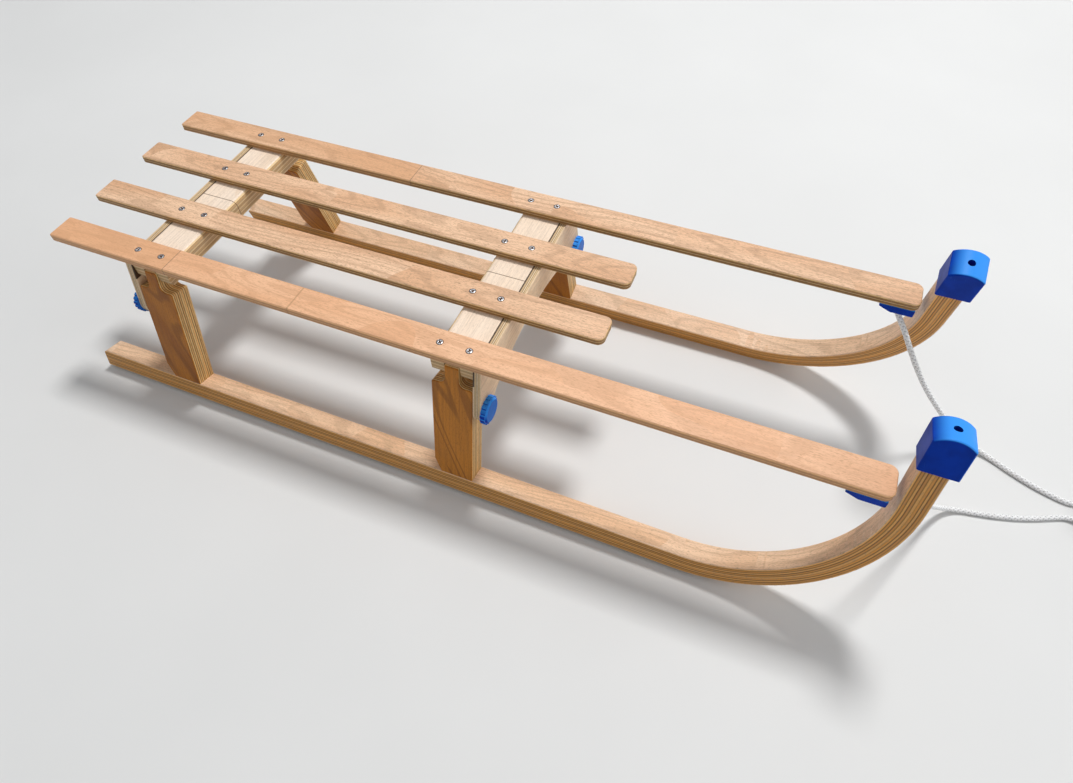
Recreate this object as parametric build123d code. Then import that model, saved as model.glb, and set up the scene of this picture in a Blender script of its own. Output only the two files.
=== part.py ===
from build123d import *
import math
import os

# Folding wooden sled: a slatted seat screwed to two trestles, and two bent runners on leaning legs.
# Each runner swings in under the seat on the bolts of its two knobs, once these are loosened.
# Millimetres. X points forward, Y to the left and Z up. The ground is z = 0.
# Along the sled, sizes are given from the tail of the outer slats, and save() moves them to the middle.

# Seat slats
slat_width = 38.0
slat_thickness = 10.5
seat_height = 222.0
outer_slat_length = 1048.0
inner_slat_length = 732.0
inner_slat_overhang = 2.0
outer_slat_spacing = 263.0
inner_slat_spacing = 93.0
slat_nose_round = 9.0
slat_tail_round = 3.0
slat_edge_ease = 1.2

# Trestles: two half beams butted in the middle, and an arched plate on one face of them
rear_trestle_x = 153.0
front_trestle_x = 580.5
beam_width = 54.0
beam_height = 25.2
beam_edge_round = 8.0
beam_lower_round = 1.5
finger_end_round = 6.0
plate_thickness = 10.5
arch_radius = 297.0
arch_crown_drop = 50.7
arch_corner_radius = 22.0
tab_radius = 18.0

# Runners, laminated, bent up at the front and leaning out at the foot
lean = 13.3
foot_spread = 333.3
runner_width = 28.7
runner_thickness = 26.7
runner_tail_x = 3.0
bend_start_x = 875.0
bend_inner_radius = 179.0
horn_height = 286.0
runner_edge_round = 1.5
runner_tail_round = 5.0

# Legs, with a tongue on top that enters the slot in the end of the beam
leg_thickness = 28.0
leg_side_play = 0.75
shoulder_drop = 46.0
shoulder_round = 3.0
tongue_drop = 18.0
tongue_width = 18.0
tongue_root_round = 8.0
tongue_top_round = 4.0
tongue_play = 0.75
stop_gap = 0.3
leg_heel_length = 8.0
leg_heel_height = 20.0
leg_edge_ease = 1.0

# Knobs and the bolts that the legs swing on
pivot_drop = 78.0
bolt_radius = 4.0
bolt_fit = 0.05
bolt_reach = 34.0
bolt_tip_gap = 0.5
knob_radius = 18.0
knob_thickness = 8.0
knob_bevel = 2.0
knob_scallops = 18
scallop_radius = 1.8

# Plastic caps on the horns
cap_wall = 3.0
cap_nose_wall = 7.3
cap_roof = 8.0
cap_grip = 28.0
cap_crest = 7.5
cap_corner_round = 2.0
cap_hole_radius = 4.0

# Brackets that hold the ends of the rope under the outer slats
bracket_length = 39.0
bracket_depth = 9.0
bracket_setback = 3.0
bracket_taper = 14.0
bracket_toe = 3.0
bracket_corner_round = 1.5

# Rope: two free strands and a round coil of what is left over
rope_diameter = 6.5
coil_middle_radius = 36.0
coil_section_width = 13.0
coil_section_height = 12.5
coil_ahead = 319.0
coil_y = 62.0

# Sizes that follow from those above
lean_sin = math.sin(math.radians(lean))
lean_cos = math.cos(math.radians(lean))
slat_bottom = seat_height - slat_thickness
beam_bottom = slat_bottom - beam_height
arch_crown_height = seat_height - arch_crown_drop
shoulder_height = seat_height - shoulder_drop
tongue_height = seat_height - tongue_drop
pivot_height = seat_height - pivot_drop
leg_width = beam_width - 2 * leg_side_play
leg_inset = (runner_width - leg_thickness) / 2
leg_outer = leg_inset + leg_thickness
pivot_out = runner_width / 2
bend_outer_radius = bend_inner_radius + runner_thickness
horn_back_x = bend_start_x + bend_inner_radius
horn_front_x = bend_start_x + bend_outer_radius
cap_edge_height = horn_height + cap_roof
cap_foot_height = horn_height - cap_grip
middle_x = (horn_front_x + cap_nose_wall - inner_slat_overhang) / 2
bracket_front_x = outer_slat_length - bracket_setback
bracket_bottom = slat_bottom - bracket_depth
slot_width = tongue_width + 2 * tongue_play
bolt_hole_radius = bolt_radius + bolt_fit

# Left half of the frame that leans with a runner: X forward, Y out from its inner face, Z up along it
leaning_plane = Plane(
    origin=(0, foot_spread / 2, 0), x_dir=(1, 0, 0), z_dir=(0, -lean_sin, lean_cos)
)


def leaning(out, up):
    """Where a point of the leaning frame lies across the sled: (distance from the middle, height)."""
    return foot_spread / 2 + out * lean_cos - up * lean_sin, out * lean_sin + up * lean_cos


def across_at(out, height):
    """Distance from the middle, at a given height, of the leaning face that lies this far out."""
    return foot_spread / 2 + (out - height * lean_sin) / lean_cos


def rounded_outline(rows):
    """A closed face from rows of (first coordinate, second coordinate, corner radius)."""
    points = [(first, second) for first, second, radius in rows]
    radii = [radius for first, second, radius in rows]
    return make_face(FilletPolyline(points, radius=radii, close=True))


def side_on(face, start, width):
    """Extrudes a face drawn in X and Z towards +Y, from the given start."""
    drawing_plane = Plane(origin=(0, start, 0), x_dir=(1, 0, 0), z_dir=(0, -1, 0))
    return extrude(drawing_plane.location * face, amount=-width)


def end_on(face, start, length):
    """Extrudes a face drawn in Y and Z towards +X, from the given start."""
    drawing_plane = Plane(origin=(start, 0, 0), x_dir=(0, 1, 0), z_dir=(1, 0, 0))
    return extrude(drawing_plane.location * face, amount=length)


def save(name, shape):
    """Writes one sub-part, moved along the sled so that x = 0 is the middle of its length."""
    placed = Pos(-middle_x, 0, 0) * shape
    placed.label = name
    export_step(placed, f"parts/{name}.step")


def save_pair(name, left):
    """Writes a sub-part of the left side and its mirror image on the right."""
    save(f"{name}_left", left)
    save(f"{name}_right", mirror(left, about=Plane.XZ))


def slat(tail_x, length, across):
    """One slat, with a rounded nose, a nearly square tail and eased rims."""
    side = slat_width / 2
    plan = rounded_outline([
        (tail_x, across - side, slat_tail_round),
        (tail_x + length, across - side, slat_nose_round),
        (tail_x + length, across + side, slat_nose_round),
        (tail_x, across + side, slat_tail_round),
    ])
    board = Pos(0, 0, slat_bottom) * extrude(plan, amount=slat_thickness)
    faces = board.faces().sort_by(Axis.Z)
    return chamfer(faces[0].edges() + faces[-1].edges(), slat_edge_ease)


def half_beam(trestle_x, plate_side):
    """The left half of a beam. Its end is cut into two fingers that the leg's tongue goes between.

    plate_side is 1 where the arched plate is on the front face and -1 where it is on the rear face.
    The upper edge away from the plate is rounded.
    """
    plate_face = trestle_x + plate_side * beam_width / 2
    free_face = trestle_x - plate_side * beam_width / 2
    end = across_at(leg_outer, slat_bottom)
    section = rounded_outline([
        (plate_face, beam_bottom, 0),
        (plate_face, slat_bottom, 0),
        (free_face, slat_bottom, beam_edge_round),
        (free_face, beam_bottom, beam_lower_round),
    ])
    lengthwise = rounded_outline([
        (0, beam_bottom, 0),
        (end, beam_bottom, finger_end_round),
        (end, slat_bottom, 0),
        (0, slat_bottom, 0),
    ])
    slot_back = leg_inset - stop_gap
    slot = rounded_outline([
        (across_at(slot_back, 0), 0, 0),
        (across_at(slot_back, seat_height), seat_height, 0),
        (foot_spread, seat_height, 0),
        (foot_spread, 0, 0),
    ])
    beam = side_on(section, 0, end) & end_on(lengthwise, trestle_x - beam_width / 2, beam_width)
    return beam - end_on(slot, trestle_x - slot_width / 2, slot_width)


def meeting(centre_a, reach_a, centre_b, reach_b):
    """The point at the given distances from two centres, on the side nearer to the middle of the sled."""
    gap_across = centre_b[0] - centre_a[0]
    gap_up = centre_b[1] - centre_a[1]
    gap = math.hypot(gap_across, gap_up)
    along = (reach_a**2 - reach_b**2 + gap**2) / (2 * gap)
    aside = math.sqrt(reach_a**2 - along**2)
    across = centre_a[0] + (along * gap_across - aside * gap_up) / gap
    up = centre_a[1] + (along * gap_up + aside * gap_across) / gap
    return across, up


def toward(start, end, distance):
    """The point at a distance from start in the direction of end."""
    share = distance / math.dist(start, end)
    return start[0] + (end[0] - start[0]) * share, start[1] + (end[1] - start[1]) * share


def arched_plate(back_x):
    """The plate of a trestle, from back_x forward: a wide arch underneath and a round tab at each knob."""
    arch_centre = (0, arch_crown_height - arch_radius)
    tab_centre = leaning(leg_outer - tab_radius, pivot_height)
    tab_outside = leaning(leg_outer, pivot_height)
    corner_centre = meeting(
        arch_centre, arch_radius - arch_corner_radius, tab_centre, tab_radius + arch_corner_radius
    )
    arch_end = toward(arch_centre, corner_centre, arch_radius)
    tab_inside = toward(tab_centre, corner_centre, tab_radius)
    halfway = ((arch_end[0] + tab_inside[0]) / 2, (arch_end[1] + tab_inside[1]) / 2)
    corner_middle = toward(corner_centre, halfway, arch_corner_radius)
    tab_bottom = (tab_centre[0], tab_centre[1] - tab_radius)
    crown = (0, arch_crown_height)
    arch_middle = toward(arch_centre, (arch_end[0] / 2, arch_crown_height), arch_radius)
    top_middle = (0, slat_bottom)
    top_end = (across_at(leg_outer, slat_bottom), slat_bottom)
    half_face = make_face([
        Line(top_middle, top_end),
        Line(top_end, tab_outside),
        ThreePointArc(tab_outside, tab_bottom, tab_inside),
        ThreePointArc(tab_inside, corner_middle, arch_end),
        ThreePointArc(arch_end, arch_middle, crown),
        Line(crown, top_middle),
    ])
    plate = end_on(half_face + mirror(half_face, about=Plane.YZ), back_x, plate_thickness)
    across, height = leaning(pivot_out, pivot_height)
    hole = Rot(0, 90, 0) * Cylinder(bolt_hole_radius, 2 * plate_thickness)
    for side in (-1, 1):
        plate -= Pos(back_x + plate_thickness / 2, side * across, height) * hole
    return plate


def at_pivot(x, outward, piece):
    """Stands a piece drawn along +Z on the left pivot axis at x, pointing forward (1) or back (-1)."""
    across, height = leaning(pivot_out, pivot_height)
    return Pos(x, across, height) * Rot(0, 90 * outward, 0) * piece


def knob():
    """A round knob drawn on its flat face: a grip with shallow scallops and a bevelled crown on it."""
    on_base = (Align.CENTER, Align.CENTER, Align.MIN)
    grip_thickness = knob_thickness - knob_bevel
    grip = Cylinder(knob_radius, grip_thickness, align=on_base)
    flute = Cylinder(scallop_radius, 3 * knob_thickness)
    for place in PolarLocations(knob_radius + scallop_radius / 3, knob_scallops):
        grip -= place * flute
    crown_radius = knob_radius - scallop_radius
    crown = Cone(crown_radius, crown_radius - knob_bevel, knob_bevel, align=on_base)
    return grip + Pos(0, 0, grip_thickness) * crown


def pivot_bolt():
    """A bolt drawn from the knob's flat face, through the plate and into the leg."""
    length = plate_thickness + bolt_reach
    return Cylinder(bolt_radius, length, align=(Align.CENTER, Align.CENTER, Align.MIN))


def runner():
    """A runner in the leaning frame: a straight sole, a quarter bend and an upright horn."""
    section = rounded_outline([
        (0, 0, 0),
        (runner_width, 0, runner_edge_round),
        (runner_width, runner_thickness, runner_edge_round),
        (0, runner_thickness, runner_edge_round),
    ])
    side_face = rounded_outline([
        (runner_tail_x, 0, 0),
        (bend_start_x, 0, 0),
        (bend_start_x, runner_thickness, 0),
        (runner_tail_x, runner_thickness, runner_tail_round),
    ])
    sole = end_on(section, runner_tail_x, bend_start_x - runner_tail_x) & side_on(side_face, 0, runner_width)
    bend_axis = Axis((0, 0, bend_outer_radius), (0, -1, 0))
    bend = Pos(bend_start_x, 0, 0) * revolve(end_on(section, 0, 1).faces().sort_by(Axis.X)[0], bend_axis, 90)
    horn_foot = bend.faces().sort_by(Axis.Z)[-1]
    horn = extrude(horn_foot, amount=horn_height - bend_outer_radius)
    return sole + bend + horn


def leg(trestle_x, plate_side):
    """A leg in the leaning frame: shoulders, a tongue on top, and a bore in its edge for the bolt."""
    back = trestle_x - leg_width / 2
    front = trestle_x + leg_width / 2
    tongue_back = trestle_x - tongue_width / 2
    tongue_front = trestle_x + tongue_width / 2
    face = rounded_outline([
        (back + leg_heel_length, runner_thickness, 0),
        (back, runner_thickness + leg_heel_height, shoulder_round),
        (back, shoulder_height, shoulder_round),
        (tongue_back, shoulder_height, tongue_root_round),
        (tongue_back, tongue_height, 0),
        (tongue_front, tongue_height, 0),
        (tongue_front, shoulder_height, tongue_root_round),
        (front, shoulder_height, shoulder_round),
        (front, runner_thickness, 0),
    ])
    board = side_on(face, leg_inset, leg_thickness)
    tongue_rims = board.faces().sort_by(Axis.Z)[-1].edges().filter_by(Axis.X)
    board = fillet(tongue_rims, tongue_top_round)
    upright = [edge for edge in board.edges().filter_by(Axis.Z) if edge.length > tongue_width]
    board = chamfer(upright, leg_edge_ease)
    bore_depth = bolt_reach + bolt_tip_gap
    plate_face = trestle_x + plate_side * beam_width / 2
    bore = Cylinder(bolt_hole_radius, bore_depth, align=(Align.CENTER, Align.CENTER, Align.MIN))
    return board - Pos(plate_face, pivot_out, pivot_height) * Rot(0, -90 * plate_side, 0) * bore


def tip_cap():
    """The cap of a horn in the leaning frame: a socket over the wood and an arched top with one hole."""
    back = horn_back_x - cap_wall
    front = horn_front_x + cap_nose_wall
    crest = ((back + front) / 2, cap_edge_height + cap_crest)
    side_face = make_face([
        Polyline((back, cap_edge_height), (back, cap_foot_height), (front, cap_foot_height),
                 (front, cap_edge_height)),
        ThreePointArc((front, cap_edge_height), crest, (back, cap_edge_height)),
    ])
    shell = side_on(side_face, -cap_wall, runner_width + 2 * cap_wall)
    outer_edges = shell.edges().filter_by(lambda edge: edge.center().Z > cap_foot_height + cap_wall)
    shell = fillet(outer_edges, cap_corner_round)
    socket = Pos(horn_back_x, 0, cap_foot_height) * Box(
        runner_thickness, runner_width, horn_height - cap_foot_height, align=(Align.MIN, Align.MIN, Align.MIN)
    )
    hole = Pos(crest[0], runner_width / 2, horn_height) * Cylinder(
        cap_hole_radius, cap_edge_height, align=(Align.CENTER, Align.CENTER, Align.MIN)
    )
    return shell - socket - hole


def rope_bracket():
    """The left bracket, flat against its slat and thinned towards the rear."""
    back = bracket_front_x - bracket_length
    side_face = rounded_outline([
        (back, slat_bottom, 0),
        (back, slat_bottom - bracket_toe, bracket_corner_round),
        (back + bracket_taper, bracket_bottom, bracket_corner_round),
        (bracket_front_x, bracket_bottom, bracket_corner_round),
        (bracket_front_x, slat_bottom, 0),
    ])
    return side_on(side_face, (outer_slat_spacing - slat_width) / 2, slat_width)


# Routes of the strands from their brackets to the coil. While a strand hangs, its rows are the distance
# ahead of the bracket's front end, y, and the drop below the slat.
left_hanging = [
    (-20, 121, 6.5),
    (-11, 118, 19.5),
    (0.5, 114.5, 32),
    (20, 104, 52.5),
    (55, 104, 100.5),
    (93, 110, 153.5),
]
right_hanging = [
    (-20, -134.5, 6.5),
    (-19, -134, 22),
    (-12, -129, 34),
    (1, -118, 40),
    (21, -101, 51.5),
    (47, -72, 96.5),
    (79, -37, 151.5),
]
# Near the ground the last column is the height instead
left_lying = [
    (127, 116, 15),
    (161, 113, 3.3),
    (195, 95, 3.3),
    (223, 83, 3.3),
    (252, 75, 3.3),
    (280, 68.5, 3.3),
]
right_lying = [
    (108, -3, 18),
    (131, 12, 3.3),
    (163, 17, 3.3),
    (193, 24, 3.3),
    (223, 34, 3.3),
    (252, 45, 3.3),
    (280, 57, 3.3),
]


def strand(name, hanging, lying):
    """A rope strand as straight runs joined by the widest tangent arcs that the runs allow."""
    points = [Vector(bracket_front_x + ahead, y, slat_bottom - drop) for ahead, y, drop in hanging]
    points += [Vector(bracket_front_x + ahead, y, height) for ahead, y, height in lying]
    radii = []
    for before, corner, after in zip(points, points[1:], points[2:]):
        incoming = corner - before
        outgoing = after - corner
        half_turn = math.radians(incoming.get_angle(outgoing)) / 2
        radii.append(0.45 * min(incoming.length, outgoing.length) / math.tan(half_turn))
    path = FilletPolyline(*points, radius=radii)
    section = Plane(origin=path @ 0, z_dir=path % 0) * Circle(rope_diameter / 2)
    tube = sweep(section, path=path)
    expected = math.pi * rope_diameter**2 / 4 * path.length
    print(name, "length %.0f" % path.length, "volume / expected %.4f" % (tube.volume / expected))
    print(name, "radii", " ".join("%.0f" % radius for radius in radii))
    return tube


def rope_coil():
    """The outer shape of the coiled rest of the rope: a flat ring lying on the ground."""
    inner = coil_middle_radius - coil_section_width / 2
    outer = coil_middle_radius + coil_section_width / 2
    on_ground = (Align.CENTER, Align.CENTER, Align.MIN)
    ring = Cylinder(outer, coil_section_height, align=on_ground)
    ring -= Cylinder(inner, coil_section_height, align=on_ground)
    return Pos(bracket_front_x + coil_ahead, coil_y, 0) * ring


os.makedirs("parts", exist_ok=True)

# Slats of the left half: name, tail, length, centre to centre spacing of the pair
slats = [
    ("slat_outer", 0, outer_slat_length, outer_slat_spacing),
    ("slat_inner", -inner_slat_overhang, inner_slat_length, inner_slat_spacing),
]
for name, tail_x, length, spacing in slats:
    save_pair(name, slat(tail_x, length, spacing / 2))

# Trestles: name, middle along the sled, side of the arched plate (1 front, -1 rear)
trestles = [
    ("rear", rear_trestle_x, -1),
    ("front", front_trestle_x, 1),
]
for name, trestle_x, plate_side in trestles:
    plate_inner_x = trestle_x + plate_side * beam_width / 2
    plate_outer_x = plate_inner_x + plate_side * plate_thickness
    save_pair(f"beam_{name}", half_beam(trestle_x, plate_side))
    save(f"arch_{name}", arched_plate(min(plate_inner_x, plate_outer_x)))
    save_pair(f"knob_{name}", at_pivot(plate_outer_x, plate_side, knob()))
    save_pair(f"pivot_bolt_{name}", at_pivot(plate_outer_x, -plate_side, pivot_bolt()))
    save_pair(f"leg_{name}", leaning_plane.location * leg(trestle_x, plate_side))

save_pair("runner", leaning_plane.location * runner())
save_pair("tip_cap", leaning_plane.location * tip_cap())
save_pair("rope_bracket", rope_bracket())
save("rope_strand_left", strand("left strand", left_hanging, left_lying))
save("rope_strand_right", strand("right strand", right_hanging, right_lying))
save("rope_coil", rope_coil())
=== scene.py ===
"""Looks of a folding wooden sled: plywood seat, laminated runners, blue plastic fittings, white rope."""
import logging
import math
from dataclasses import dataclass
from enum import Enum
from typing import NamedTuple, Sequence

import bmesh
import bpy
import numpy as np
from mathutils import Matrix, Vector


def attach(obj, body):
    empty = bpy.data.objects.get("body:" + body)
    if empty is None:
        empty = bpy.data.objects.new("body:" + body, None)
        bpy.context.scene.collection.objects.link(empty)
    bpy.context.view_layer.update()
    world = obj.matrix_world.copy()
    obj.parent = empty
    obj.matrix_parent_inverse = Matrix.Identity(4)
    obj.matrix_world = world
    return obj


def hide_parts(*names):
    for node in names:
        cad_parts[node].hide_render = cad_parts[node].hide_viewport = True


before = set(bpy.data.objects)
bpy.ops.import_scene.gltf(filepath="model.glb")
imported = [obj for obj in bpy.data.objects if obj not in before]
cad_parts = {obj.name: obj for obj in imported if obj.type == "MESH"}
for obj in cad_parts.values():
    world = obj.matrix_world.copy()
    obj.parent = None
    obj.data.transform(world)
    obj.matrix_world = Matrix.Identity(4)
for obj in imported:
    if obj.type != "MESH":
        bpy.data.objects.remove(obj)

LOG = logging.getLogger("sled")
MM = 0.001
SIDES = ("left", "right")
ENDS = ("rear", "front")

# Sizes of the construction in millimetres. Lengths along the sled are from the tail of the outer slats.
MIDDLE = 543.0
SEAT_HEIGHT = 222.0
SLAT_THICKNESS = 10.5
BEAM_THICKNESS = 25.2
PLATE_THICKNESS = 10.5
RUNNER_THICKNESS = 26.7
SLAT_UNDERSIDE = SEAT_HEIGHT - SLAT_THICKNESS
BEAM_UNDERSIDE = SLAT_UNDERSIDE - BEAM_THICKNESS

Colour = tuple[float, float, float]
Feed = bpy.types.NodeSocket | float | Sequence[float]
Scale = tuple[float, float]


class Lay(Enum):
    """How a board lies: which way its grain runs, and through which of its sides its plies are stacked."""

    SLAT = "grain along the sled, plies stacked upwards"
    BEAM = "grain across the sled, plies stacked upwards"
    PLATE = "grain across the sled, plies stacked along it"
    LEG = "grain up the leaning leg, plies stacked outwards"
    RUNNER = "grain along the bent runner, plies stacked from its sole"


class Spot(NamedTuple):
    """Where a place lies in a board: along its grain, across it and through its plies, in metres."""

    along: Feed
    across: Feed
    depth: Feed


class Stack(NamedTuple):
    """What a place finds among the plies of its board.

    That is the number of its ply, the ply's own tone from 0 to 1, 0 or 1 as the ply's grain runs along or
    across, 1 where it is a face veneer, and how much glue shows.
    """

    index: Feed
    tone: Feed
    parity: Feed
    skin: Feed
    glue: Feed


def darker(share: float, colour: Colour) -> Colour:
    """A share of a colour's light."""
    return tuple(share * part for part in colour)


class Bench:
    """Lays out the shader nodes of one material."""

    def __init__(self, name: str) -> None:
        """Starts a material with its principled shader.

        Args:
            name: The material's name.
        """
        self.material = bpy.data.materials.new(name)
        self.material.use_nodes = True
        self.tree = self.material.node_tree
        self.shader = self.tree.nodes["Principled BSDF"]

    def feed(self, socket: bpy.types.NodeSocket, value: Feed) -> None:
        """Links a socket to another, or sets its value.

        Args:
            socket: The input to fill.
            value: An output socket, a number, or the numbers of a vector or colour.
        """
        if isinstance(value, bpy.types.NodeSocket):
            self.tree.links.new(value, socket)
        elif isinstance(value, (int, float)):
            socket.default_value = float(value)
        elif socket.type == "RGBA":
            socket.default_value = (*value, 1.0)
        else:
            socket.default_value = tuple(value)

    def add(self, kind: str, **settings: object) -> bpy.types.Node:
        """Adds a node of a kind and sets its properties.

        Args:
            kind: The node's type name.
            settings: Its properties.

        Returns:
            The new node.
        """
        node = self.tree.nodes.new(kind)
        for name, value in settings.items():
            setattr(node, name, value)
        return node

    def math(self, operation: str, *values: Feed) -> bpy.types.NodeSocket:
        """The result of a math node.

        Args:
            operation: The node's operation.
            values: Its inputs in order.

        Returns:
            The result's socket.
        """
        node = self.add("ShaderNodeMath", operation=operation)
        for socket, value in zip(node.inputs, values):
            self.feed(socket, value)
        return node.outputs[0]

    def total(self, *terms: tuple[float, Feed]) -> bpy.types.NodeSocket:
        """The sum of weight times value over the terms.

        Args:
            terms: Pairs of a weight and a value.

        Returns:
            The sum's socket.
        """
        result: Feed = 0.0
        for weight, value in terms:
            result = self.math("MULTIPLY_ADD", value, weight, result)
        return result

    def vector(self, x: Feed, y: Feed, z: Feed) -> bpy.types.NodeSocket:
        """A vector of three values.

        Args:
            x: The first value.
            y: The second value.
            z: The third value.

        Returns:
            The vector's socket.
        """
        node = self.add("ShaderNodeCombineXYZ")
        for socket, value in zip(node.inputs, (x, y, z)):
            self.feed(socket, value)
        return node.outputs[0]

    def split(self, vector: bpy.types.NodeSocket) -> tuple[bpy.types.NodeSocket, ...]:
        """The three values of a vector.

        Args:
            vector: The vector's socket.

        Returns:
            Three sockets.
        """
        node = self.add("ShaderNodeSeparateXYZ")
        self.tree.links.new(vector, node.inputs[0])
        return tuple(node.outputs)

    def place(self) -> tuple[bpy.types.NodeSocket, ...]:
        """The object coordinates x, y and z."""
        return self.split(self.add("ShaderNodeTexCoord").outputs["Object"])

    def own_map(self, name: str) -> tuple[bpy.types.NodeSocket, ...]:
        """The two values of a piece's own UV map."""
        return self.split(self.add("ShaderNodeUVMap", uv_map=name).outputs[0])[:2]

    def noise(self, vector: Feed, detail: float = 3.0, roughness: float = 0.5) -> bpy.types.NodeSocket:
        """Noise from 0 to 1 with features about one unit of the vector apart.

        Args:
            vector: The place to read, already scaled.
            detail: The number of finer layers.
            roughness: How strong those layers are.

        Returns:
            The noise's socket.
        """
        node = self.add("ShaderNodeTexNoise")
        self.feed(node.inputs["Vector"], vector)
        self.feed(node.inputs["Scale"], 1.0)
        self.feed(node.inputs["Detail"], detail)
        self.feed(node.inputs["Roughness"], roughness)
        return node.outputs[0]

    def cloud(self, scale: float, detail: float, roughness: float) -> bpy.types.NodeSocket:
        """Noise over the whole piece that is alike in every direction.

        Args:
            scale: Features per metre.
            detail: The number of finer layers.
            roughness: How strong those layers are.

        Returns:
            The noise's socket.
        """
        scaled = self.vector(*[self.total((scale, axis)) for axis in self.place()])
        return self.noise(scaled, detail, roughness)

    def chance(self, number: Feed) -> bpy.types.NodeSocket:
        """A value from 0 to 1 that is always the same for the same number.

        Args:
            number: The number.

        Returns:
            The value's socket.
        """
        node = self.add("ShaderNodeTexWhiteNoise", noise_dimensions="1D")
        self.feed(node.inputs["W"], number)
        return node.outputs["Value"]

    def ramp(
        self, value: Feed, low: float, high: float, start: float = 0.0, end: float = 1.0,
    ) -> bpy.types.NodeSocket:
        """A smooth step between two levels as a value goes from low to high.

        Args:
            value: What the step follows.
            low: Where it starts.
            high: Where it ends.
            start: The level at low.
            end: The level at high.

        Returns:
            The level's socket.
        """
        node = self.add("ShaderNodeMapRange", interpolation_type="SMOOTHSTEP")
        for name, setting in (
            ("Value", value), ("From Min", low), ("From Max", high), ("To Min", start), ("To Max", end),
        ):
            self.feed(node.inputs[name], setting)
        return node.outputs["Result"]

    def mix(self, share: Feed, first: Feed, second: Feed) -> bpy.types.NodeSocket:
        """Two colours mixed.

        Args:
            share: How much of the second there is.
            first: The first colour.
            second: The second colour.

        Returns:
            The colour's socket.
        """
        node = self.add("ShaderNodeMix", data_type="RGBA")
        colour_inputs = [socket for socket in node.inputs if socket.type == "RGBA"]
        self.feed(node.inputs["Factor"], share)
        self.feed(colour_inputs[0], first)
        self.feed(colour_inputs[1], second)
        return next(socket for socket in node.outputs if socket.type == "RGBA")

    def bump(self, height: Feed, depth: float, strength: float) -> None:
        """Gives the shader a bump.

        Args:
            height: The height from 0 to 1.
            depth: What a height of 1 is, in metres.
            strength: The strength of the effect.
        """
        node = self.add("ShaderNodeBump")
        self.feed(node.inputs["Strength"], strength)
        self.feed(node.inputs["Distance"], depth)
        self.feed(node.inputs["Height"], height)
        self.tree.links.new(node.outputs[0], self.shader.inputs["Normal"])

    def coat(self, colour: Feed, roughness: Feed, **constants: float) -> bpy.types.Material:
        """Finishes the material.

        Args:
            colour: The base colour.
            roughness: The roughness.
            constants: Other inputs of the shader, by name with underscores for spaces.

        Returns:
            The finished material.
        """
        self.feed(self.shader.inputs["Base Color"], colour)
        self.feed(self.shader.inputs["Roughness"], roughness)
        for name, value in constants.items():
            self.shader.inputs[name.replace("_", " ")].default_value = value
        return self.material


@dataclass(frozen=True)
class Lean:
    """The leaning frame of a runner and its legs, in metres, as the construction has it.

    The shifts move the wood's figure apart on the two sides of the sled, so that they aren't alike.
    """

    angle: float = math.radians(13.3)
    foot: float = 333.3 / 2 * MM
    bend_start: float = (875.0 - MIDDLE) * MM
    bend_radius: float = (179.0 + RUNNER_THICKNESS) * MM
    leg_shift: float = 0.31
    runner_shift_along: float = 0.8
    runner_shift_across: float = 0.21

    def spot(self, bench: Bench, bent: bool) -> Spot:
        """Where a place lies in a leg, or in a runner.

        With |y| the distance from the middle of the sled, out = (|y| - foot) cos + z sin and
        up = z cos - (|y| - foot) sin of the lean. On a runner the ply depth is
        R - sqrt(max(x - x0, 0)^2 + max(R - up, 0)^2), with R the bend's outer radius and x0 its start, and
        the grain runs along min(x, x0), then the bend's arc, then up the horn.

        Args:
            bench: The material's bench.
            bent: Whether the piece is a runner.

        Returns:
            The place in the piece.
        """
        x, y, z = bench.place()
        side = bench.math("SIGN", y)
        beyond = bench.math("SUBTRACT", bench.math("ABSOLUTE", y), self.foot)
        out = bench.total((math.cos(self.angle), beyond), (math.sin(self.angle), z))
        up = bench.total((math.cos(self.angle), z), (-math.sin(self.angle), beyond))
        if not bent:
            return Spot(up, bench.total((1.0, x), (self.leg_shift, side)), out)
        ahead = bench.math("MAXIMUM", bench.math("SUBTRACT", x, self.bend_start), 0.0)
        below = bench.math("MAXIMUM", bench.math("SUBTRACT", self.bend_radius, up), 0.0)
        above = bench.math("MAXIMUM", bench.math("SUBTRACT", up, self.bend_radius), 0.0)
        squares = [(1.0, bench.math("MULTIPLY", length, length)) for length in (ahead, below)]
        depth = bench.math("SUBTRACT", self.bend_radius, bench.math("SQRT", bench.total(*squares)))
        along = bench.total(
            (1.0, bench.math("MINIMUM", x, self.bend_start)),
            (self.bend_radius - RUNNER_THICKNESS * MM / 2, bench.math("ARCTAN2", ahead, below)),
            (1.0, above),
            (self.runner_shift_along, side),
        )
        return Spot(along, bench.total((1.0, out), (self.runner_shift_across, side)), depth)


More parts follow.
